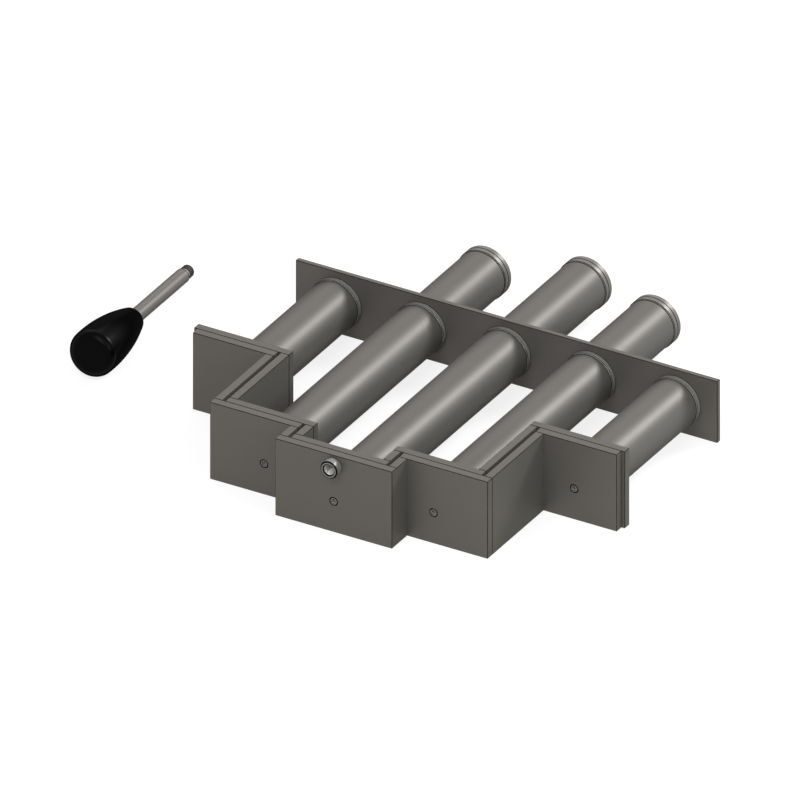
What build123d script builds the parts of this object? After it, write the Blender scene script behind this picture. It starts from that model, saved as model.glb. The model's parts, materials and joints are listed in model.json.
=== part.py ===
from build123d import *
import math
import os

# Easy-clean magnet grate for a round hopper, in millimetres.
# +X runs along the rear plate, +Y from the stepped front to the rear, +Z up. The origin is on the
# bottom edge of the rear plate, half-way along it and half-way through it.
# A welded grate of plates and closed tubes stays in the hopper. A second set of front plates
# carries the magnet rods, and slides forward out of the tubes to let the caught iron drop.

# Magnet rods, the tubes that sheathe them, and their spacing
rod_diameter = 25.0
rod_clearance = 0.5
tube_wall = 1.0
tube_pitch = 50.0

# Rear plate: the tubes are half-way up it, and it runs past the axes of the outer ones
rear_thickness = 3.0
rear_height = 36.4
rear_margin = 24.5

# Front plates: thickness, height, and the slot between the webs of the two sets
plate_thickness = 4.75
plate_height = 45.4
web_gap = 1.5

# Sides of the steps: clear of the next tube outside, and past the axes of the outer tubes
centre_side_clearance = 1.5
middle_side_clearance = 4.0
outer_margin = 25.2
grate_overhang = 2.0

# Reach of the outer step ahead of the rear plate, and of each step ahead of the one beside it
outer_reach = 104.0
middle_step = 57.2
centre_step = 15.5

# Ends of the long tubes behind the front face of the rear plate
middle_tail = 66.7
centre_tail = 82.9
end_disc_thickness = 3.0

# Rings welded round the tubes
ring_height = 0.5
ring_width = 3.5
ring_bevel = 0.75

# Inside of the magnet rods
rod_wall = 0.8
rod_floor = 2.0
rod_end_gap = 2.0
plug_past_screw = 2.75
magnet_pitch = 30.0
pole_thickness = 5.0
stack_gap = 0.2

# Set screws that hold the rods to the front plates
screw_diameter = 5.0
screw_length = 12.0
screw_hex = 2.5
screw_hex_depth = 2.5
screw_bevel = 0.3

# Thread of the handle and of its socket
thread_diameter = 7.0
thread_pitch = 1.0
thread_length = 4.9

# Socket for the handle: a bush with a thinner spigot through the plate
socket_wall = 2.0
socket_stand = 5.2
socket_bevel = 0.6
socket_floor = 1.95
socket_lead = 0.6
socket_below_top = 6.3
spigot_wall = 1.0

# Handle, which lies beside the grate
shaft_shoulder = 0.5
shaft_free = 68.2
shaft_in_knob = 32.0
shaft_bevel = 0.5
relief_depth = 0.3
relief_length = 1.65
knob_diameter = 26.2
knob_length = 50.1
knob_widest_from_face = 9.0
knob_neck_wall = 2.9
knob_rim_radius = 4.8
knob_neck_radius = 0.8
handle_x = -195.0
handle_tip_y = 11.1
handle_turn = 4.64

# Edges of the plates are broken by this much after cutting
edge_break = 0.3

# Clearances
weld_gap = 0.05
thread_gap = 0.05

# Places worked out from the sizes above
columns = (1, 2, 3, 4, 5)
tube_radius = rod_diameter / 2 + rod_clearance + tube_wall
tube_x = {n: (n - 3) * tube_pitch for n in columns}
axis_height = rear_height / 2
rear_front_y = -rear_thickness / 2
centre_half = tube_x[4] - tube_radius - centre_side_clearance
middle_half = tube_x[5] - tube_radius - middle_side_clearance
outer_half = tube_x[5] + outer_margin
middle_reach = outer_reach + middle_step
centre_reach = middle_reach + centre_step
reach = {1: outer_reach, 2: middle_reach, 3: centre_reach, 4: middle_reach, 5: outer_reach}
front_y = {n: rear_front_y - reach[n] for n in columns}
seam_y = {n: front_y[n] + plate_thickness for n in columns}
grate_rear_y = {n: seam_y[n] + plate_thickness for n in columns}
tail = {2: middle_tail, 3: centre_tail, 4: middle_tail}
tube_rear_y = {n: rear_front_y + tail[n] - end_disc_thickness if n in tail else rear_front_y for n in columns}
inner_set = plate_thickness + web_gap
thread_core = thread_diameter - thread_pitch
shaft_diameter = thread_diameter + 2 * shaft_shoulder


def facing_front(y):
    """A plane across the object at y that faces forward, with +X right and +Z up."""
    return Plane(origin=(0, y, 0), x_dir=(1, 0, 0), z_dir=(0, -1, 0))


def along_tube(n):
    """A plane through the axis of tube n: its x runs rearward and its y is the distance from the axis."""
    return Plane(origin=(tube_x[n], 0, axis_height), x_dir=(0, 1, 0), z_dir=(1, 0, 0))


def tube_axis(n):
    return Axis((tube_x[n], 0, axis_height), (0, 1, 0))


def save(part, label):
    part.label = label
    export_step(part, f"parts/{label}.step")


def turned(n, outline):
    """A piece turned about the axis of tube n, from (y, radius) points."""
    with BuildPart() as piece:
        with BuildSketch(along_tube(n)):
            with BuildLine():
                Polyline(*outline, close=True)
            make_face()
        revolve(axis=tube_axis(n))
    return piece.part


def break_edges(piece, welded_corners):
    """Takes the burr off a plate's edges, but not off its upright corners at (x, y) that are welded up."""
    welded = [
        edge
        for edge in piece.edges().filter_by(Axis.Z)
        for x, y in welded_corners
        if math.hypot(edge.center().X - x, edge.center().Y - y) < edge_break
    ]
    chamfer([edge for edge in piece.edges() if edge not in welded], edge_break)


def upright_plate(x_low, x_high, y_rear, thickness, height, holes, welded_corners=()):
    """A plate across the object, with round holes given as (x, z, radius)."""
    with BuildPart() as piece:
        with BuildSketch(facing_front(y_rear)):
            with Locations(((x_low + x_high) / 2, height / 2)):
                Rectangle(x_high - x_low, height)
        extrude(amount=thickness)
        break_edges(piece, welded_corners)
        with BuildSketch(facing_front(y_rear)):
            for x, z, radius in holes:
                with Locations((x, z)):
                    Circle(radius)
        extrude(amount=thickness, mode=Mode.SUBTRACT)
    return piece.part


def web_plate(x_low, x_high, y_front, y_rear, welded_corners):
    """A plate that runs rearward between two steps."""
    with BuildPart() as piece:
        with BuildSketch(Plane.XY):
            with Locations(((x_low + x_high) / 2, (y_front + y_rear) / 2)):
                Rectangle(x_high - x_low, y_rear - y_front)
        extrude(amount=plate_height)
        break_edges(piece, welded_corners)
    return piece.part


def stepped_front(inset, ends, rear_y, label, hole_radius, extra_holes):
    """Five plates and four webs. Each web joins the rear of one plate to the front of the next."""
    half = {1: outer_half + ends, 2: middle_half - inset, 3: centre_half - inset}
    for n in columns:
        side = abs(n - 3)
        outside = half[3 - side]
        inside = half[4 - side] - plate_thickness if side else half[3]
        x_low, x_high = (-outside, -inside) if n < 3 else (inside, outside)
        if n == 3:
            x_low = -outside
        holes = [(tube_x[n], axis_height, hole_radius)]
        holes += extra_holes.get(n, [])
        welded = [(x, rear_y[n]) for x in (-outside, outside) if n == 3]
        plate = upright_plate(x_low, x_high, rear_y[n], plate_thickness, plate_height, holes, welded)
        save(plate, f"{label}_plate_{n}")
    for left, right in ((1, 2), (2, 3), (3, 4), (4, 5)):
        near, far = sorted((left, right), key=lambda n: rear_y[n])
        step = half[min(near, 6 - near)]
        side = -1 if right <= 3 else 1
        outer, inner = side * step, side * (step - plate_thickness)
        x_low, x_high = sorted((outer, inner))
        y_front, y_rear = rear_y[near], rear_y[far] - plate_thickness
        welded = [(inner, y_front), (outer, y_rear)]
        if near == 3:
            welded.append((outer, y_front))
        web = web_plate(x_low, x_high, y_front, y_rear, welded)
        save(web, f"{label}_web_{left}{right}")


def weld_ring(n, y_rear):
    """A ring round tube n with a bevelled front edge, its flat rear end at y_rear."""
    inner = tube_radius + weld_gap
    outer = tube_radius + ring_height
    y_front = y_rear - ring_width
    outline = [(y_rear, inner), (y_rear, outer), (y_front + ring_bevel, outer)]
    outline.append((y_front, inner))
    return turned(n, outline)


os.makedirs("parts", exist_ok=True)

# Rear plate, with a hole for each tube that runs on behind it
passing = [(tube_x[n], axis_height, tube_radius + weld_gap) for n in tail]
rear_half = tube_x[5] + rear_margin
rear = upright_plate(-rear_half, rear_half, rear_thickness / 2, rear_thickness, rear_height, passing)
save(rear, "rear_plate")

# Tubes, from the front face of the grate plates to the rear plate or to their end discs
for n in columns:
    bore = tube_radius - tube_wall
    ends = (seam_y[n], tube_rear_y[n])
    outline = [(ends[0], bore), (ends[1], bore), (ends[1], tube_radius), (ends[0], tube_radius)]
    save(turned(n, outline), f"tube_{n}")
    save(weld_ring(n, rear_front_y), f"plate_ring_{n}")

for n in tail:
    save(weld_ring(n, tube_rear_y[n]), f"end_ring_{n}")
    with BuildPart() as end_disc:
        with BuildSketch(facing_front(tube_rear_y[n] + end_disc_thickness)):
            with Locations((tube_x[n], axis_height)):
                Circle(tube_radius + ring_height)
        extrude(amount=end_disc_thickness)
    save(end_disc.part, f"end_disc_{n}")

# The grate's own front, and the sliding front that covers it
socket_z = plate_height - socket_below_top
spigot_radius = thread_core / 2 + spigot_wall
socket_hole = {3: [(0, socket_z, spigot_radius + weld_gap)]}
stepped_front(inner_set, grate_overhang, grate_rear_y, "grate", tube_radius + weld_gap, {})
stepped_front(0, 0, seam_y, "front", screw_diameter / 2 + thread_gap, socket_hole)

# Magnet rods: closed sheath, front plug, and a stack of magnets between pole discs
sheath_radius = rod_diameter / 2
sheath_bore = sheath_radius - rod_wall
stack_radius = sheath_bore - stack_gap
plug_length = screw_length - plate_thickness + plug_past_screw
for n in columns:
    tip = tube_rear_y[n] - rod_end_gap
    floor = tip - rod_floor
    outline = [(seam_y[n], sheath_bore), (floor, sheath_bore), (floor, 0), (tip, 0)]
    outline += [(tip, sheath_radius), (seam_y[n], sheath_radius)]
    save(turned(n, outline), f"rod_sheath_{n}")

    plug_rear = seam_y[n] + plug_length
    thread_wall = screw_diameter / 2 + thread_gap
    outline = [(seam_y[n], thread_wall), (plug_rear, thread_wall)]
    outline += [(plug_rear, sheath_bore - weld_gap), (seam_y[n], sheath_bore - weld_gap)]
    save(turned(n, outline), f"rod_plug_{n}")

    room = floor - plug_rear - pole_thickness
    count = max(1, round(room / magnet_pitch))
    pitch = room / count
    for label, first, length, copies in (
        ("poles", plug_rear, pole_thickness, count + 1),
        ("magnets", plug_rear + pole_thickness, pitch - pole_thickness, count),
    ):
        with BuildPart() as stack:
            for k in range(copies):
                with BuildSketch(facing_front(first + k * pitch + length)):
                    with Locations((tube_x[n], axis_height)):
                        Circle(stack_radius)
                extrude(amount=length)
        save(stack.part, f"rod_{label}_{n}")

# Set screws, one on each rod's axis, with a hexagon recess
with BuildPart() as rod_screws:
    for n in columns:
        with BuildSketch(facing_front(front_y[n] + screw_length)):
            with Locations((tube_x[n], axis_height)):
                Circle(screw_diameter / 2)
        extrude(amount=screw_length)
    rims = rod_screws.edges().filter_by(GeomType.CIRCLE)
    chamfer([rim for rim in rims if any(abs(rim.center().Y - front_y[n]) < 0.01 for n in columns)], screw_bevel)
    for n in columns:
        with BuildSketch(facing_front(front_y[n])):
            with Locations((tube_x[n], axis_height)):
                RegularPolygon(screw_hex / 2, 6, major_radius=False)
        extrude(amount=-screw_hex_depth, mode=Mode.SUBTRACT)
save(rod_screws.part, "rod_screws")

# Handle socket: a turned bush through the centre plate, with a blind threaded bore
socket_face = front_y[3] - socket_stand
with BuildPart() as handle_socket:
    with BuildSketch(facing_front(front_y[3])):
        with Locations((0, socket_z)):
            Circle(thread_core / 2 + socket_wall)
    extrude(amount=socket_stand)
    chamfer(handle_socket.faces().sort_by(Axis.Y)[0].edges(), socket_bevel)
    with BuildSketch(facing_front(seam_y[3])):
        with Locations((0, socket_z)):
            Circle(spigot_radius)
    extrude(amount=plate_thickness)
    mouth = Plane(origin=(0, socket_face, socket_z), x_dir=(1, 0, 0), z_dir=(0, -1, 0))
    with Locations(mouth):
        lead_radius = thread_core / 2 + socket_lead
        bore_depth = socket_stand + plate_thickness - socket_floor
        CounterSinkHole(thread_core / 2, lead_radius, depth=bore_depth, counter_sink_angle=90)
save(handle_socket.part, "handle_socket")

# Handle: it lies on its knob and on the edge of its threaded end, turned a few degrees off the tubes
knob_face = shaft_free + knob_length
knob_widest = knob_face - knob_widest_from_face
neck_radius = shaft_diameter / 2 + knob_neck_wall
neck_depth = knob_diameter / 2 - neck_radius
belly_radius = ((knob_widest - shaft_free) ** 2 + neck_depth**2) / (2 * neck_depth)
belly_centre_depth = belly_radius - knob_diameter / 2
tip_edge = thread_diameter / 2
down = math.hypot(knob_widest - shaft_bevel, belly_centre_depth + tip_edge)
lean = math.asin(belly_radius / down)
lean -= math.atan2(belly_centre_depth + tip_edge, knob_widest - shaft_bevel)
tip_height = tip_edge * math.cos(lean) - shaft_bevel * math.sin(lean)
handle_tip = (handle_x, handle_tip_y, tip_height)
turn = math.radians(handle_turn)
handle_way = (math.sin(turn) * math.cos(lean), -math.cos(turn) * math.cos(lean), math.sin(lean))
handle_plane = Plane(origin=handle_tip, x_dir=handle_way, z_dir=(-math.cos(turn), -math.sin(turn), 0))
handle_axis = Axis(handle_tip, handle_way)

shoulder = thread_length + relief_length
shaft_end = shaft_free + shaft_in_knob
shaft_radius = shaft_diameter / 2
relief_radius = tip_edge - relief_depth
with BuildPart() as handle_shaft:
    with BuildSketch(handle_plane):
        with BuildLine():
            Polyline(
                (0, 0),
                (0, tip_edge - shaft_bevel),
                (shaft_bevel, tip_edge),
                (thread_length, tip_edge),
                (thread_length, relief_radius),
                (shoulder, relief_radius),
                (shoulder, shaft_radius - shaft_bevel),
                (shoulder + shaft_bevel, shaft_radius),
                (shaft_end, shaft_radius),
                (shaft_end, 0),
                close=True,
            )
        make_face()
    revolve(axis=handle_axis)
save(handle_shaft.part, "handle_shaft")


def belly(distance):
    """The knob's radius at a distance from the tip of the handle."""
    return math.sqrt(belly_radius**2 - (distance - knob_widest) ** 2) - belly_centre_depth


with BuildPart() as handle_knob:
    with BuildSketch(handle_plane):
        with BuildLine():
            neck = (shaft_free, belly(shaft_free))
            rim = (knob_face, belly(knob_face))
            Polyline((shaft_end, shaft_radius + weld_gap), (shaft_free, shaft_radius + weld_gap), neck)
            ThreePointArc(neck, (knob_widest, knob_diameter / 2), rim)
            Polyline(rim, (knob_face, 0), (shaft_end, 0), (shaft_end, shaft_radius + weld_gap))
        make_face()
    revolve(axis=handle_axis)
    rims = handle_knob.edges().filter_by(GeomType.CIRCLE)
    fillet([edge for edge in rims if abs(edge.radius - belly(knob_face)) < 0.01], knob_rim_radius)
    rims = handle_knob.edges().filter_by(GeomType.CIRCLE)
    fillet([edge for edge in rims if abs(edge.radius - belly(shaft_free)) < 0.01], knob_neck_radius)
save(handle_knob.part, "handle_knob")
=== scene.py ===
import json
import math

import bpy
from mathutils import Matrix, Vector


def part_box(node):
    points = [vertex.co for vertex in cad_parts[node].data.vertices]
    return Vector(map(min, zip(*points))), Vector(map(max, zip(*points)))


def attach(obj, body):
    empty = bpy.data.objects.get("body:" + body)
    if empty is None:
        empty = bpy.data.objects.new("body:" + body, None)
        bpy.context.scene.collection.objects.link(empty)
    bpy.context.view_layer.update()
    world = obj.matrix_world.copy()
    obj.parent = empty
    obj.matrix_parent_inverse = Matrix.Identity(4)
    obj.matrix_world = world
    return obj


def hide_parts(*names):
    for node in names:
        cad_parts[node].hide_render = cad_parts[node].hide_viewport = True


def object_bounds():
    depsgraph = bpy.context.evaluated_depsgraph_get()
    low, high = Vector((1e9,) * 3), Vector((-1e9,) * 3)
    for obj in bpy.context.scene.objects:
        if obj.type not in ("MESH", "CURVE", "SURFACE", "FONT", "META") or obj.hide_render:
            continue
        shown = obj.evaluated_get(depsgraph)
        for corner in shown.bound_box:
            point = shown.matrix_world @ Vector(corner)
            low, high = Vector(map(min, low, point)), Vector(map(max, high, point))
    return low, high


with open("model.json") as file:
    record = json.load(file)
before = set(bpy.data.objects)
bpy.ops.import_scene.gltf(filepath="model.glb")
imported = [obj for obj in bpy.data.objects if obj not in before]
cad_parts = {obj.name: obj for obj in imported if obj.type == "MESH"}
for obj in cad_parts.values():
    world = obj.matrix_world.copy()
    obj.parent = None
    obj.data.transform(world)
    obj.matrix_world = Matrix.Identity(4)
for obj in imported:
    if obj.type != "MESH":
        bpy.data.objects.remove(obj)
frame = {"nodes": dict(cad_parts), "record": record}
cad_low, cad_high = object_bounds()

MM = 0.001

# Columns of the grate from left to right, and those whose tubes pass through the rear plate
COLUMNS = (1, 2, 3, 4, 5)
LONG_COLUMNS = (2, 3, 4)
ALONG_TUBES = (0, 1, 0)

# Picture: parallel view from the front right, from above, and where the rear plate's foot falls in it
IMAGE_PIXELS = 800
PIXELS_PER_MM = 1.9565
AZIMUTH = math.radians(30)
ELEVATION = math.radians(30)
PLATE_FOOT_PIXEL = (506.45, 382.5)
CAMERA_DISTANCE = 2.0

# Surroundings: the light they give, and how white they look
WORLD_LEVEL = 0.385
FLOOR_BOUNCE = 0.55
FLOOR_TONE = 0.26
FLOOR_GLOW = 0.82
FLOOR_SIZE = 12.0
FLOOR_DROP = 0.05 * MM

# Steel: levels of grey, shares of the plate's or tube's level, and how far red is lifted and blue lowered
PLATE_LEVEL = 0.13
PLATE_WARMTH = 0.078
EDGE_SHARE = 0.12
TUBE_LEVEL = 0.136
TUBE_WARMTH = 0.055
SEAM_SHARE = 0.05
END_RING_SHARE = 1.3
# Rings at the rear plate are painted lighter than the end rings: painted light against the plate's shadow on
# them
PLATE_RING_PAINTED_LIGHT_SHARE = 2.0
ROD_SHARE = 1.2
SHAFT_LEVEL = 0.158
SHAFT_WARMTH = 0.05
SCREW_LEVEL = 0.23
THREAD_LEVEL = 0.06
# Bore, recess and undercut are painted lighter: painted light in the shade of the bore and recesses, and a
# painted highlight on the undercut
BORE_PAINTED_LIGHT_LEVEL = 0.42
GROOVE_PAINTED_HIGHLIGHT_LEVEL = 0.36
CUT_WARMTH = 0.03
MAGNET_LEVEL = 0.5
POLE_LEVEL = 0.25
CORE_WARMTH = 0.02

# Steel: gloss, grain and clouding
STEEL_METAL = 0.4
SHAFT_METAL = 0.75
STEEL_EDGE_TINT = 0.2
GRAIN_DETAIL = 3.0
GRAIN_BREAK = 0.65
GRAIN_TONE = 0.10
FINE_GRAIN_TONE = 0.06
PLATED_GRAIN_TONE = 0.05
GRAIN_ROUGH = 0.12
GRAIN_HEIGHT = 0.02 * MM
GRAIN_STRENGTH = 0.12
CLOUDS_PER_METRE = 38.0
CLOUD_TONE = 0.06
CLOUD_ROUGH = 0.06
BROKEN_EDGE_FROM = 0.90
BROKEN_EDGE_TO = 0.97

# Knob: near-black plastic under a clear skin, whose weight goes by how far a place slants from the eye
KNOB_LEVEL = 0.0005
KNOB_ROUGH = 0.42
KNOB_SKIN_ROUGH = 0.28
KNOB_SLANT_LOW = 0.16
KNOB_SLANT_MIDDLE = 0.36
KNOB_SLANT_HIGH = 0.58
KNOB_SKIN_FACING = 0.09
KNOB_SKIN_MIDDLE = 0.165
KNOB_SKIN_FADE = 0.12
STIPPLE_PER_METRE = 2600.0
STIPPLE_DETAIL = 2.0
STIPPLE_ROUGH = 0.1
STIPPLE_HEIGHT = 0.01 * MM
STIPPLE_STRENGTH = 0.15
KNOB_CLOUDS_PER_METRE = 60.0
KNOB_CLOUD_TONE = 0.3
KNOB_CLOUD_ROUGH = 0.08

# Turned pieces: how finely they are divided, and which of a piece's materials a band takes
SEGMENTS = 96
KNOB_SEGMENTS = 128
SHARP_ANGLE = math.radians(28)
# The third band is painted lighter: painted light in bores and recesses, and a painted highlight on the
# undercut
PLAIN, DARK, PAINTED_LIGHT = 0, 1, 2

# Tubes, rings and discs
TUBE_WALL = 1.0 * MM
TUBE_EDGE = 0.2 * MM
RING_BEVEL = 0.75 * MM
SEAM = 0.35 * MM
DISC_EDGE = 0.25 * MM

# Rods, with how far in a round edge's middle stands, as a share of its radius
ROD_WALL = 0.8 * MM
ROD_END_WALL = 2.0 * MM
ROD_END_ROUND = 0.8 * MM
ROUND_MIDDLE = 0.3

# Set screws
SCREW_HEX = 2.5 * MM
SCREW_HEX_DEPTH = 2.5 * MM
SCREW_POINT_DEPTH = 2.8 * MM
SCREW_BEVEL = 0.3 * MM
SCREW_LEAD = 0.2 * MM

# Thread on the handle and in its socket: a triangle wave, steepened and cut flat at root and crest
THREAD_PITCH = 1.0 * MM
THREAD_DEPTH = 0.5 * MM
THREAD_STEPS = 8
THREAD_STEEPNESS = 1.6
THREAD_ROOT_CUT = 0.2

# Socket of the handle, with the depth of its drilled point as a share of the bore's radius
SOCKET_BEVEL = 0.6 * MM
SOCKET_LEAD = 0.6 * MM
SOCKET_FLOOR = 1.95 * MM
SOCKET_POINT = 0.3
SPIGOT_WALL = 1.0 * MM

# Handle, along its axis from the threaded tip
THREAD_START = 0.45 * MM
THREAD_LENGTH = 4.9 * MM
RELIEF_DEPTH = 0.3 * MM
RELIEF_LENGTH = 1.65 * MM
SHAFT_BEVEL = 0.5 * MM
SHAFT_RADIUS = 4.0 * MM
SHOULDER_LINE = 0.77 * MM
SHAFT_FREE = 68.2 * MM
KNOB_LENGTH = 50.1 * MM
KNOB_RADIUS = 13.1 * MM
KNOB_WIDEST_FROM_FACE = 9.0 * MM
KNOB_NECK_RADIUS = 6.9 * MM
KNOB_NECK_ROUND = 0.8 * MM
KNOB_RIM_ROUND = 4.8 * MM
KNOB_BORE_DEPTH = 32.0 * MM
KNOB_CLEARANCE = 0.05 * MM

# Knob's outline: degrees and steps of its two round edges, and steps and start of the arc between them
NECK_ARC = (180, 100, 6)
RIM_ARC = (88, 0, 16)
BELLY_STEPS = 40
BELLY_START = 0.96 * MM

# Colour sockets of a Mix node
MIX_FIRST, MIX_SECOND, MIX_RESULT = 6, 7, 2


class Amount:
    """A number or vector in a material. Plain sums on it add the nodes that work them out."""

    def __init__(self, nodes, socket):
        self.nodes = nodes
        self.socket = socket

    def maths(self, operation, *values):
        return self.nodes.add("ShaderNodeMath", {"operation": operation}, dict(enumerate(values)))

    def __add__(self, other):
        return self.maths("ADD", self, other)

    __radd__ = __add__

    def __sub__(self, other):
        return self.maths("SUBTRACT", self, other)

    def __rsub__(self, other):
        return self.maths("SUBTRACT", other, self)

    def __mul__(self, other):
        return self.maths("MULTIPLY", self, other)

    __rmul__ = __mul__

    def __abs__(self):
        return self.maths("ABSOLUTE", self)

    def larger(self, other):
        return self.maths("MAXIMUM", self, other)

    def swing(self, width):
        """As this runs from 0 to 1, runs over that width with 0 in its middle."""
        return (self - 0.5) * width

    def scaled(self, x, y, z):
        """A vector with each part scaled by itself."""
        return self.nodes.add("ShaderNodeVectorMath", {"operation": "MULTIPLY"}, {0: self, 1: (x, y, z)})

    def part(self, name):
        """One of the other outputs of the node that gave this."""
        return Amount(self.nodes, self.socket.node.outputs[name])

    def parts(self):
        """The three parts of a vector."""
        x = self.nodes.add("ShaderNodeSeparateXYZ", {}, {0: self})
        return x, x.part("Y"), x.part("Z")

    def ease(self, low, high, to_low=0.0, to_high=1.0):
        """Runs smoothly from to_low to to_high as this goes from low to high."""
        values = {"Value": self, "From Min": low, "From Max": high, "To Min": to_low, "To Max": to_high}
        return self.nodes.add("ShaderNodeMapRange", {"interpolation_type": "SMOOTHSTEP"}, values)


class Nodes:
    """The nodes of a material or of the world, and the shader that they feed."""

    def __init__(self, owner, shader):
        owner.use_nodes = True
        self.tree = owner.node_tree
        self.shader = self.tree.nodes[shader]
        self.fed = {}

    def join(self, value, socket):
        if isinstance(value, Amount):
            self.tree.links.new(value.socket, socket)
        else:
            socket.default_value = value

    def add(self, kind, settings, values, output=0):
        made = self.tree.nodes.new(kind)
        for setting, value in settings.items():
            setattr(made, setting, value)
        for socket, value in values.items():
            self.join(value, made.inputs[socket])
        return Amount(self, made.outputs[output])

    def feed(self, socket, value):
        self.fed[socket] = value
        self.join(value, self.shader.inputs[socket])

    def blend(self, share, first, second):
        """A colour that goes from first to second as share goes from 0 to 1."""
        values = {"Factor": share, MIX_FIRST: first, MIX_SECOND: second}
        return self.add("ShaderNodeMix", {"data_type": "RGBA"}, values, MIX_RESULT)

    def seen_directly(self):
        """1 where the camera, or metal or glass, looks at a surface, and 0 where it only lights others."""
        path = self.add("ShaderNodeLightPath", {}, {}, "Is Camera Ray")
        return path.larger(path.part("Is Glossy Ray")).larger(path.part("Is Transmission Ray"))


class Finish(Nodes):
    """A material, with some sockets of its surface shader set."""

    def __init__(self, name, sockets):
        self.material = bpy.data.materials.new(name)
        super().__init__(self.material, "Principled BSDF")
        for socket, value in sockets.items():
            self.feed(socket, value)

    def place(self):
        return self.add("ShaderNodeTexCoord", {}, {}, "Object")

    def facing(self):
        return self.add("ShaderNodeTexCoord", {}, {}, "Normal")

    def noise(self, where, scale, detail, roughness=0.5):
        values = {"Vector": where, "Scale": scale, "Detail": detail, "Roughness": roughness}
        return self.add("ShaderNodeTexNoise", {}, values)

    def shaded(self, colour, shade):
        """A plain colour, made lighter or darker by shade."""
        return self.add("ShaderNodeVectorMath", {"operation": "SCALE"}, {0: colour[:3], "Scale": shade})

    def bump(self, height, distance, strength):
        values = {"Height": height, "Distance": distance, "Strength": strength}
        self.feed("Normal", self.add("ShaderNodeBump", {}, values))


def grey(level, warmth=0.0):
    """A near-neutral colour. Warmth lifts red and lowers blue."""
    return (level * (1 + warmth), level, level * (1 - warmth), 1)


def steel(name, level, rough, grain, warmth=PLATE_WARMTH, grain_tone=GRAIN_TONE, metal=STEEL_METAL):
    """Stainless steel with faint clouding and a grain of that many lines to the metre along X, Y and Z."""
    finish = Finish(name, {
        "Metallic": metal,
        "Specular Tint": grey(STEEL_EDGE_TINT),
        "Specular IOR Level": 0.0,
    })
    where = finish.place()
    fine = finish.noise(where.scaled(*grain), 1.0, GRAIN_DETAIL, GRAIN_BREAK)
    soft = finish.noise(where, CLOUDS_PER_METRE, GRAIN_DETAIL)
    shade = 1 + fine.swing(grain_tone) + soft.swing(CLOUD_TONE)
    finish.feed("Base Color", finish.shaded(grey(level, warmth), shade))
    finish.feed("Roughness", rough + fine.swing(GRAIN_ROUGH) + soft.swing(CLOUD_ROUGH))
    finish.bump(fine, GRAIN_HEIGHT, GRAIN_STRENGTH)
    return finish


def plate_steel():
    """Cut plate: faint level rolling lines on the faces, and darker broken edges."""
    finish = steel("plate_steel", PLATE_LEVEL, rough=0.47, grain=(70, 70, 2400))
    x, y, z = finish.facing().parts()
    squareness = abs(x).larger(abs(y)).larger(abs(z))
    edge = 1 - squareness.ease(BROKEN_EDGE_FROM, BROKEN_EDGE_TO)
    edge_colour = grey(PLATE_LEVEL * EDGE_SHARE, PLATE_WARMTH)
    finish.feed("Base Color", finish.blend(edge, finish.fed["Base Color"], edge_colour))
    return finish.material


def tube_steel():
    """Ground tube: fine rings round it."""
    return steel("tube_steel", TUBE_LEVEL, rough=0.44, grain=(120, 2600, 120), warmth=TUBE_WARMTH).material


def ring_steel(name, level):
    """Turned ring or disc."""
    return steel(name, level, rough=0.40, grain=(160, 2600, 160), warmth=TUBE_WARMTH).material


def seam_steel():
    """Dark line where pieces meet and at broken edges."""
    return steel("seam_steel", TUBE_LEVEL * SEAM_SHARE, rough=0.6, grain=(160, 2600, 160)).material


def rod_steel():
    """Sheath and plug of a rod, ground finer than the tubes."""
    finish = steel(
        "rod_steel", TUBE_LEVEL * ROD_SHARE, rough=0.25, grain=(160, 3000, 160),
        warmth=TUBE_WARMTH, grain_tone=FINE_GRAIN_TONE,
    )
    return finish.material


def screw_steel():
    """Set screws and the handle's socket."""
    return steel("screw_steel", SCREW_LEVEL, rough=0.42, grain=(900, 900, 900), warmth=CUT_WARMTH).material


def painted_light_steel(name, level):
    """Steel painted lighter inside a bore, a recess or a groove: painted light where shade falls there, and a
    painted highlight.
    """
    return steel(name, level, rough=0.35, grain=(900, 900, 900), warmth=CUT_WARMTH).material


def shaft_steel():
    """Shaft of the handle, ground smooth."""
    finish = steel(
        "shaft_steel", SHAFT_LEVEL, rough=0.43, grain=(150, 2600, 150),
        warmth=SHAFT_WARMTH, metal=SHAFT_METAL,
    )
    return finish.material


def thread_steel():
    """Cut thread, darker all over than the shaft; it also makes the shaft's dark lines."""
    return steel("thread_steel", THREAD_LEVEL, rough=0.38, grain=(400, 400, 400), warmth=CUT_WARMTH).material


def magnet_plating():
    """Nickel on the magnets."""
    finish = steel(
        "magnet_plating", MAGNET_LEVEL, rough=0.2, grain=(300, 1500, 300),
        warmth=CORE_WARMTH, grain_tone=PLATED_GRAIN_TONE,
    )
    return finish.material


def pole_iron():
    """Turned discs between the magnets."""
    return steel("pole_iron", POLE_LEVEL, rough=0.4, grain=(300, 1500, 300), warmth=CORE_WARMTH).material


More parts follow.
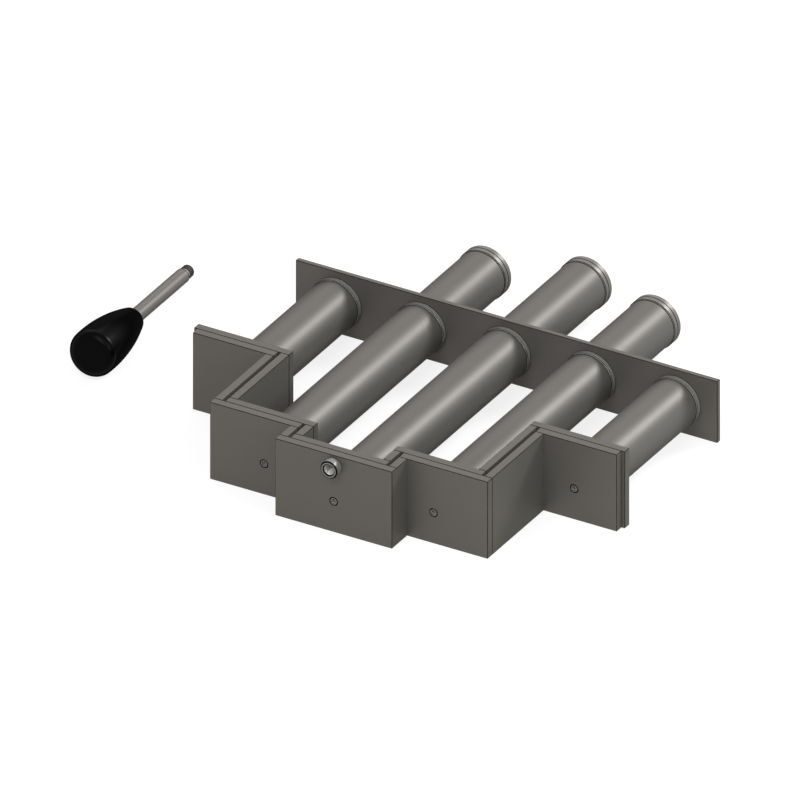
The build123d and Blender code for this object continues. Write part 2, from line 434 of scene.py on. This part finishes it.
def knob_plastic():
    """Black moulded plastic with a fine satin texture."""
    finish = Finish("knob_plastic", {"Specular IOR Level": 0.0, "Coat Roughness": KNOB_SKIN_ROUGH})
    slant = finish.add("ShaderNodeLayerWeight", {}, {}, "Facing")
    skin = slant.ease(KNOB_SLANT_LOW, KNOB_SLANT_MIDDLE, KNOB_SKIN_FACING, KNOB_SKIN_MIDDLE)
    finish.feed("Coat Weight", skin * slant.ease(KNOB_SLANT_MIDDLE, KNOB_SLANT_HIGH, 1.0, KNOB_SKIN_FADE))
    where = finish.place()
    stipple = finish.noise(where, STIPPLE_PER_METRE, STIPPLE_DETAIL)
    soft = finish.noise(where, KNOB_CLOUDS_PER_METRE, GRAIN_DETAIL)
    finish.feed("Base Color", finish.shaded(grey(KNOB_LEVEL), 1 + soft.swing(KNOB_CLOUD_TONE)))
    finish.feed("Roughness", KNOB_ROUGH + stipple.swing(STIPPLE_ROUGH) + soft.swing(KNOB_CLOUD_ROUGH))
    finish.bump(stipple, STIPPLE_HEIGHT, STIPPLE_STRENGTH)
    return finish.material


class Way:
    """An axis in space, more or less level, that turned pieces are built round."""

    def __init__(self, start, along):
        self.start = Vector(start)
        self.along = Vector(along).normalized()
        self.across = self.along.cross(Vector((0, 0, 1))).normalized()
        self.up = self.across.cross(self.along)

    def point(self, distance, radius, angle):
        out = self.across * math.cos(angle) + self.up * math.sin(angle)
        return self.start + self.along * distance + out * radius


def node_way(node):
    """The axis of a piece that lies along the tubes, its length and its outer radius."""
    low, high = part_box(node)
    middle = (low + high) / 2
    return Way((middle.x, low.y, middle.z), ALONG_TUBES), high.y - low.y, (high.x - low.x) / 2


def turned(name, way, rows, closed=False, segments=SEGMENTS):
    """A turned mesh. Each row is (distance, radius) or (distance, radius, band). The radius may be a
    function of the angle, and the band is the material from there to the next row. A row of radius 0
    is one point. With closed, the last row joins the first, as in a tube."""
    points = []
    loops = []
    for distance, radius, *_ in rows:
        count = 1 if radius == 0 else segments
        loops.append(range(len(points), len(points) + count))
        for k in range(count):
            angle = 2 * math.pi * k / segments
            reach = radius(angle) if callable(radius) else radius
            points.append(way.point(distance, reach, angle))
    pairs = list(zip(loops, loops[1:]))
    if closed:
        pairs.append((loops[-1], loops[0]))
    faces = []
    slots = []
    for row, (near, far) in zip(rows, pairs):
        slots += [row[2] if len(row) > 2 else PLAIN] * segments
        for k in range(segments):
            after = (k + 1) % segments
            if len(near) == 1:
                faces.append((near[0], far[after], far[k]))
            elif len(far) == 1:
                faces.append((near[k], near[after], far[0]))
            else:
                faces.append((near[k], near[after], far[after], far[k]))
    mesh = bpy.data.meshes.new(name)
    mesh.from_pydata(points, [], faces)
    mesh.polygons.foreach_set("material_index", slots)
    mesh.shade_smooth()
    mesh.set_sharp_from_angle(angle=SHARP_ANGLE)
    piece = bpy.data.objects.new(name, mesh)
    bpy.context.scene.collection.objects.link(piece)
    return piece


def finish_piece(piece, body, slot, materials, *stands_for):
    """Gives a new piece its materials and its body, and hides the nodes that it stands for. Its slot is not
    used.
    """
    for material in materials:
        piece.data.materials.append(material)
    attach(piece, body)
    if stands_for:
        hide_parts(*stands_for)
    return piece


def arc(centre, radius, start, end, steps):
    """Points (distance, radius) on a round stretch of an outline, with angles in degrees."""
    turns = [math.radians(start + (end - start) * k / steps) for k in range(steps + 1)]
    return [(centre[0] + radius * math.cos(t), centre[1] + radius * math.sin(t)) for t in turns]


def hexagon(width):
    """Radius at an angle of a hexagon of that width across its flats."""
    sixth = math.pi / 3
    return lambda angle: width / 2 / math.cos((angle % sixth) - sixth / 2)


def build_tube(n, material):
    """Plain tube with the edges of both ends broken. A disc or the rear plate closes it."""
    way, length, radius = node_way(f"tube_{n}")
    bore = radius - TUBE_WALL
    rows = [(TUBE_EDGE, bore), (0, bore + TUBE_EDGE), (0, radius - TUBE_EDGE), (TUBE_EDGE, radius)]
    rows += [(length - TUBE_EDGE, radius), (length, radius - TUBE_EDGE)]
    rows += [(length, bore + TUBE_EDGE), (length - TUBE_EDGE, bore)]
    piece = turned(f"ground_tube_{n}", way, rows, closed=True)
    finish_piece(piece, "grate", "tube_steel", [material], f"tube_{n}")


def build_ring(node, tube_radius, materials):
    """Bevelled ring, with a dark seam at the tube, at the top of its bevel and at its far end."""
    way, length, radius = node_way(node)
    rise = (radius - tube_radius) / RING_BEVEL
    rows = [(0, tube_radius, DARK), (SEAM, tube_radius + SEAM * rise)]
    rows += [(RING_BEVEL - SEAM / 2, radius - SEAM / 2 * rise, DARK), (RING_BEVEL + SEAM / 2, radius)]
    rows += [(length - SEAM, radius, DARK), (length, radius), (length, tube_radius)]
    piece = turned(f"turned_{node}", way, rows, closed=True)
    finish_piece(piece, "grate", "ring_steel", materials, node)


def build_disc(n, materials):
    """End disc, with its edges broken and dark."""
    way, length, radius = node_way(f"end_disc_{n}")
    rows = [(0, 0), (0, radius - DISC_EDGE, DARK), (DISC_EDGE, radius)]
    rows += [(length - DISC_EDGE, radius, DARK), (length, radius - DISC_EDGE), (length, 0)]
    piece = turned(f"turned_end_disc_{n}", way, rows)
    finish_piece(piece, "grate", "ring_steel", materials, f"end_disc_{n}")


def build_rod(n, material):
    """Sheath of a rod: open in front, where its plug sits, and rounded at its closed rear end."""
    way, length, radius = node_way(f"rod_sheath_{n}")
    bore = radius - ROD_WALL
    middle = ROD_END_ROUND * ROUND_MIDDLE
    rows = [(length - ROD_END_WALL, 0), (length - ROD_END_WALL, bore), (0, bore), (0, radius)]
    rows += [(length - ROD_END_ROUND, radius), (length - middle, radius - middle)]
    rows += [(length, radius - ROD_END_ROUND), (length, 0)]
    piece = turned(f"rod_tube_{n}", way, rows)
    finish_piece(piece, "magnet_pack", "rod_steel", [material], f"rod_sheath_{n}")


def build_screws(materials):
    """One set screw on each rod's axis, flush with its front plate. They stand for one node together."""
    low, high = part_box("rod_screws")
    radius = (high.z - low.z) / 2
    length = high.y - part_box("front_plate_1")[0].y
    hex_wall = hexagon(SCREW_HEX)
    # The hex recess and point take the band painted lighter: painted light in the recess's shade
    rows = [(SCREW_POINT_DEPTH, 0, PAINTED_LIGHT), (SCREW_HEX_DEPTH, hex_wall, PAINTED_LIGHT), (SCREW_LEAD, hex_wall, DARK)]
    rows += [(0, SCREW_HEX / 2 + SCREW_LEAD), (0, radius - SCREW_BEVEL - SEAM, DARK)]
    rows += [(0, radius - SCREW_BEVEL, DARK), (SCREW_BEVEL, radius)]
    rows += [(length, radius), (length, 0)]
    for n in COLUMNS:
        tube_way, _, _ = node_way(f"tube_{n}")
        plate_low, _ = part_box(f"front_plate_{n}")
        way = Way((tube_way.start.x, plate_low.y, (low.z + high.z) / 2), ALONG_TUBES)
        screw = turned(f"set_screw_{n}", way, rows)
        finish_piece(screw, "magnet_pack", "screw_steel", materials)
    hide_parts("rod_screws")


def thread_rows(start, end, root, crest, inside, band):
    """Rows of a screw thread that fades out at both ends, cut inside a bore or outside a rod."""
    steps = round((end - start) / THREAD_PITCH * THREAD_STEPS)

    def row(distance):
        fade = min(1, (distance - start) / THREAD_PITCH, (end - distance) / THREAD_PITCH)

        def radius(angle):
            turn = (distance / THREAD_PITCH - angle / (2 * math.pi)) % 1
            wave = 1 - abs(2 * turn - 1)
            height = min(1, max(0, THREAD_STEEPNESS * wave - THREAD_ROOT_CUT))
            if inside:
                return root + (crest - root) * height * fade
            return crest - (crest - root) * (1 - height) * fade

        return radius

    places = [start + (end - start) * k / steps for k in range(steps + 1)]
    return [(distance, row(distance), band) for distance in places]


def mount(name):
    """One of the part's mounts, from its record."""
    return next(m for m in frame["record"]["mounts"] if m["name"] == name)


def build_socket(materials):
    """Bush for the handle: bevelled rim, lead-in, blind threaded bore and thinner spigot."""
    way, length, radius = node_way("handle_socket")
    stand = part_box("front_plate_3")[0].y - way.start.y
    core = mount("handle_socket_thread")["dims"]["r_mm"] * MM
    spigot = core + SPIGOT_WALL
    bottom = length - SOCKET_FLOOR
    # The bore's thread and floor take the band painted lighter: painted light in the bore's shade
    thread = thread_rows(SOCKET_LEAD, bottom, core, core + THREAD_DEPTH, inside=True, band=PAINTED_LIGHT)
    rows = [(bottom + core * SOCKET_POINT, 0, PAINTED_LIGHT)] + thread[:0:-1]
    rows += [(SOCKET_LEAD, core, DARK), (0, core + SOCKET_LEAD), (0, radius - SOCKET_BEVEL - SEAM / 2, DARK)]
    rows += [(0, radius - SOCKET_BEVEL, DARK), (SOCKET_BEVEL, radius)]
    rows += [(stand - SEAM, radius, DARK), (stand, radius), (stand, spigot), (length, spigot), (length, 0)]
    piece = turned("threaded_socket", way, rows)
    finish_piece(piece, "magnet_pack", "screw_steel", materials, "handle_socket")


def handle_way():
    """The handle's axis, from its threaded tip to its knob, and the radius of its thread's crest."""
    stud = mount("handle_stud")
    axis = Vector(stud["axis"])
    tip = Vector(stud["pos_m"]) + axis * (stud["dims"]["length_mm"] * MM / 2 + SHAFT_BEVEL)
    return Way(tip, -axis), stud["dims"]["r_mm"] * MM


def build_shaft(materials):
    """Shaft with a threaded tip, an undercut painted lighter as a painted highlight, and a bevelled shoulder
    with a dark line behind it.
    """
    way, crest = handle_way()
    relief = crest - RELIEF_DEPTH
    shoulder = THREAD_LENGTH + RELIEF_LENGTH
    bevel_end = shoulder + SHAFT_BEVEL
    end = SHAFT_FREE + KNOB_BORE_DEPTH
    rows = [(0, 0), (0, crest - SHAFT_BEVEL, DARK)]
    rows += thread_rows(THREAD_START, THREAD_LENGTH, crest - THREAD_DEPTH, crest, inside=False, band=DARK)
    # The undercut takes the band painted lighter: a painted highlight
    rows += [(THREAD_LENGTH, relief, PAINTED_LIGHT), (shoulder - SEAM, relief, DARK), (shoulder, relief, DARK)]
    rows += [(shoulder, SHAFT_RADIUS - SHAFT_BEVEL, DARK), (bevel_end, SHAFT_RADIUS, DARK)]
    rows += [(bevel_end + SHOULDER_LINE, SHAFT_RADIUS), (end, SHAFT_RADIUS), (end, 0)]
    piece = turned("threaded_shaft", way, rows)
    finish_piece(piece, "grate", "shaft_steel", materials, "handle_shaft")


def build_knob(material):
    """Tapered knob: one arc from its neck to its rim, with rounded edges and a blind bore."""
    way, _ = handle_way()
    face = SHAFT_FREE + KNOB_LENGTH
    widest = face - KNOB_WIDEST_FROM_FACE
    neck_depth = KNOB_RADIUS - KNOB_NECK_RADIUS
    belly = ((widest - SHAFT_FREE) ** 2 + neck_depth**2) / (2 * neck_depth)
    bore = SHAFT_RADIUS + KNOB_CLEARANCE
    floor = SHAFT_FREE + KNOB_BORE_DEPTH
    neck = SHAFT_FREE + KNOB_NECK_ROUND
    rim = face - KNOB_RIM_ROUND
    first = SHAFT_FREE + BELLY_START

    def radius(distance):
        return math.sqrt(belly**2 - (distance - widest) ** 2) - (belly - KNOB_RADIUS)

    places = [first + (rim - first) * k / BELLY_STEPS for k in range(BELLY_STEPS + 1)]
    rows = [(floor, 0), (floor, bore), (SHAFT_FREE, bore)]
    rows += arc((neck, radius(neck) - KNOB_NECK_ROUND), KNOB_NECK_ROUND, *NECK_ARC)
    rows += [(distance, radius(distance)) for distance in places]
    rows += arc((rim, radius(rim) - KNOB_RIM_ROUND), KNOB_RIM_ROUND, *RIM_ARC)
    rows += [(face, 0)]
    piece = turned("moulded_knob", way, rows, segments=KNOB_SEGMENTS)
    finish_piece(piece, "grate", "knob_plastic", [material], "handle_knob")


def assign(node, material):
    """Gives a solid of the part its one material."""
    node.data.materials.clear()
    node.data.materials.append(material)


def dress_plates(material):
    """The rear plate and both stepped fronts, whose solids are shown as they are."""
    for name, node in frame["nodes"].items():
        if name == "rear_plate" or name.startswith(("front_", "grate_")):
            assign(node, material)


def dress_cores(plug, magnet, pole):
    """What each rod holds: its plug, its magnets and the pole discs between them."""
    for n in COLUMNS:
        assign(frame["nodes"][f"rod_plug_{n}"], plug)
        assign(frame["nodes"][f"rod_magnets_{n}"], magnet)
        assign(frame["nodes"][f"rod_poles_{n}"], pole)


def build_floor():
    """White floor that keeps the object's shadow, and throws back less light than it shows."""
    half = FLOOR_SIZE / 2
    mesh = bpy.data.meshes.new("floor")
    corners = [(-half, -half, 0), (half, -half, 0), (half, half, 0), (-half, half, 0)]
    mesh.from_pydata(corners, [], [(0, 1, 2, 3)])
    floor = bpy.data.objects.new("floor", mesh)
    floor.location.z = cad_low.z - FLOOR_DROP
    bpy.context.scene.collection.objects.link(floor)
    finish = Finish("floor_white", {"Roughness": 1.0, "Specular IOR Level": 0.0, "Emission Strength": 1.0})
    seen = finish.seen_directly()
    finish.feed("Base Color", finish.blend(seen, grey(FLOOR_BOUNCE), grey(FLOOR_TONE)))
    finish.feed("Emission Color", finish.blend(seen, grey(0), grey(FLOOR_GLOW)))
    mesh.materials.append(finish.material)


def build_world():
    """Plain white to look at, and dimmer where it lights the object."""
    world = bpy.data.worlds.new("studio")
    bpy.context.scene.world = world
    sky = Nodes(world, "Background")
    sky.feed("Color", grey(1))
    sky.feed("Strength", WORLD_LEVEL + sky.seen_directly() * (1 - WORLD_LEVEL))


def build_lamp(name, towards, distance, size, power, tint=(1, 1, 1)):
    """A square softbox that looks at the middle of the object from that direction."""
    centre = (cad_low + cad_high) / 2
    data = bpy.data.lights.new(name, "AREA")
    data.size = size
    data.energy = power
    data.color = tint
    lamp = bpy.data.objects.new(name, data)
    direction = Vector(towards).normalized()
    lamp.location = centre + direction * distance
    lamp.rotation_euler = direction.to_track_quat("Z", "Y").to_euler()
    bpy.context.scene.collection.objects.link(lamp)


def build_camera():
    """Parallel view, placed so that the foot of the rear plate's front face falls on its pixel."""
    back = Vector((
        math.sin(AZIMUTH) * math.cos(ELEVATION),
        -math.cos(AZIMUTH) * math.cos(ELEVATION),
        math.sin(ELEVATION),
    ))
    turn = back.to_track_quat("Z", "Y")
    right = turn @ Vector((1, 0, 0))
    up = turn @ Vector((0, 1, 0))
    plate_low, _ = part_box("rear_plate")
    foot = Vector((0, plate_low.y, plate_low.z))
    pixel = MM / PIXELS_PER_MM
    to_right = (IMAGE_PIXELS / 2 - PLATE_FOOT_PIXEL[0]) * pixel
    downwards = (IMAGE_PIXELS / 2 - PLATE_FOOT_PIXEL[1]) * pixel
    data = bpy.data.cameras.new("camera")
    data.type = "ORTHO"
    data.ortho_scale = IMAGE_PIXELS * pixel
    camera = bpy.data.objects.new("camera", data)
    camera.location = foot + right * to_right - up * downwards + back * CAMERA_DISTANCE
    camera.rotation_euler = turn.to_euler()
    bpy.context.scene.collection.objects.link(camera)
    bpy.context.scene.camera = camera


build_camera()
build_world()
build_floor()

# The key light's mirror image is the bright streak along the tubes. The others fill the sides that face them.
build_lamp("key_softbox", (0.445, 0.675, 0.589), distance=1.5, size=0.42, power=15.6)
build_lamp("back_softbox", (-0.60, 0.68, 0.45), distance=1.9, size=1.6, power=12.5)
build_lamp("side_softbox", (0.84, -0.29, 0.46), distance=1.6, size=0.9, power=8.0, tint=(0.88, 1.0, 0.92))
build_lamp("front_softbox", (0.12, -0.68, 0.72), distance=1.6, size=0.8, power=10.2)

# Lists of materials are in the order plain, dark, and the band painted lighter as painted light in bores and
# recesses and a painted highlight on the undercut
tube_material = tube_steel()
rod_material = rod_steel()
seam_material = seam_steel()
end_ring_materials = [ring_steel("end_ring_steel", TUBE_LEVEL * END_RING_SHARE), seam_material]
# Plate rings: steel painted lighter, as painted light where the rear plate's shadow falls on them
plate_ring_painted_light_materials = [ring_steel("plate_ring_painted_light_steel", TUBE_LEVEL * PLATE_RING_PAINTED_LIGHT_SHARE), seam_material]
# Bore and groove steels are painted lighter: painted light in the bore and the hex recesses, and a painted
# highlight on the undercut
screw_materials = [screw_steel(), seam_material, painted_light_steel("bore_painted_light_steel", BORE_PAINTED_LIGHT_LEVEL)]
shaft_materials = [shaft_steel(), thread_steel(), painted_light_steel("groove_painted_highlight_steel", GROOVE_PAINTED_HIGHLIGHT_LEVEL)]

dress_plates(plate_steel())
dress_cores(rod_material, magnet_plating(), pole_iron())
_, _, tube_radius = node_way("tube_3")
for n in COLUMNS:
    build_tube(n, tube_material)
    build_ring(f"plate_ring_{n}", tube_radius, plate_ring_painted_light_materials)
for n in LONG_COLUMNS:
    build_ring(f"end_ring_{n}", tube_radius, end_ring_materials)
    build_disc(n, end_ring_materials)
for n in COLUMNS:
    build_rod(n, rod_material)
build_screws(screw_materials)
build_socket(screw_materials)
build_shaft(shaft_materials)
build_knob(knob_plastic())

bpy.context.scene.view_settings.view_transform = "Standard"
